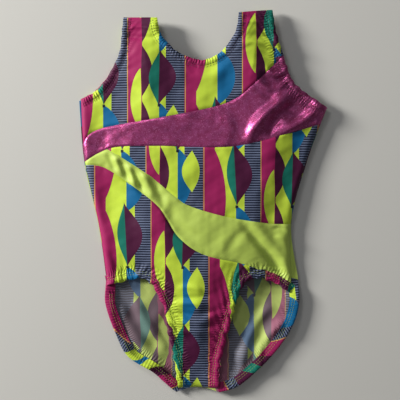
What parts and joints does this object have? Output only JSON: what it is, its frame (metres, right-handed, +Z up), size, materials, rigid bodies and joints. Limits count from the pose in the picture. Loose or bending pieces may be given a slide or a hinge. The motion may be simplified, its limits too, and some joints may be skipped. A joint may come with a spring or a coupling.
{
  "type": "gymnastics leotard",
  "caption": "Child's sleeveless gymnastics leotard laid flat: printed stretch panels with a slanting metallic band and a lime band, elastic at the neck, armholes and legs.",
  "frame": {"origin": "middle of the laid garment, on the table under it", "axes": "+Y from the crotch to the shoulders, +Z up out of the table, +X to the right of the front as it is seen from above"},
  "size_m": [0.296, 0.4556, 0.0159],
  "materials": {
    "print_spandex": "satin printed knit",
    "foil_spandex": "metallic foil on knit",
    "lime_spandex": "matte knit",
    "lining_knit": "matte knit",
    "elastic": "matte",
    "thread": "matte overlock thread"
  },
  "bodies": {
    "root": {"front_yoke": "print_spandex", "front_metallic_band": "foil_spandex", "front_waist_panel": "print_spandex", "front_lime_band": "lime_spandex", "front_hip_panel": "print_spandex", "back_yoke": "print_spandex", "back_metallic_band": "foil_spandex", "back_waist_panel": "print_spandex", "back_lime_band": "lime_spandex", "back_seat_panel": "print_spandex", "crotch_lining": "lining_knit", "neck_elastic": "elastic", "left_armhole_elastic": "elastic", "right_armhole_elastic": "elastic", "left_leg_elastic": "elastic", "right_leg_elastic": "elastic", "left_side_seam": "thread", "right_side_seam": "thread", "left_shoulder_seam": "thread", "right_shoulder_seam": "thread", "crotch_seam": "thread", "front_metallic_upper_seam": "thread", "front_metallic_lower_seam": "thread", "front_lime_upper_seam": "thread", "front_lime_lower_seam": "thread", "back_metallic_upper_seam": "thread", "back_metallic_lower_seam": "thread", "back_lime_upper_seam": "thread", "back_lime_lower_seam": "thread"}
  },
  "joints": []
}
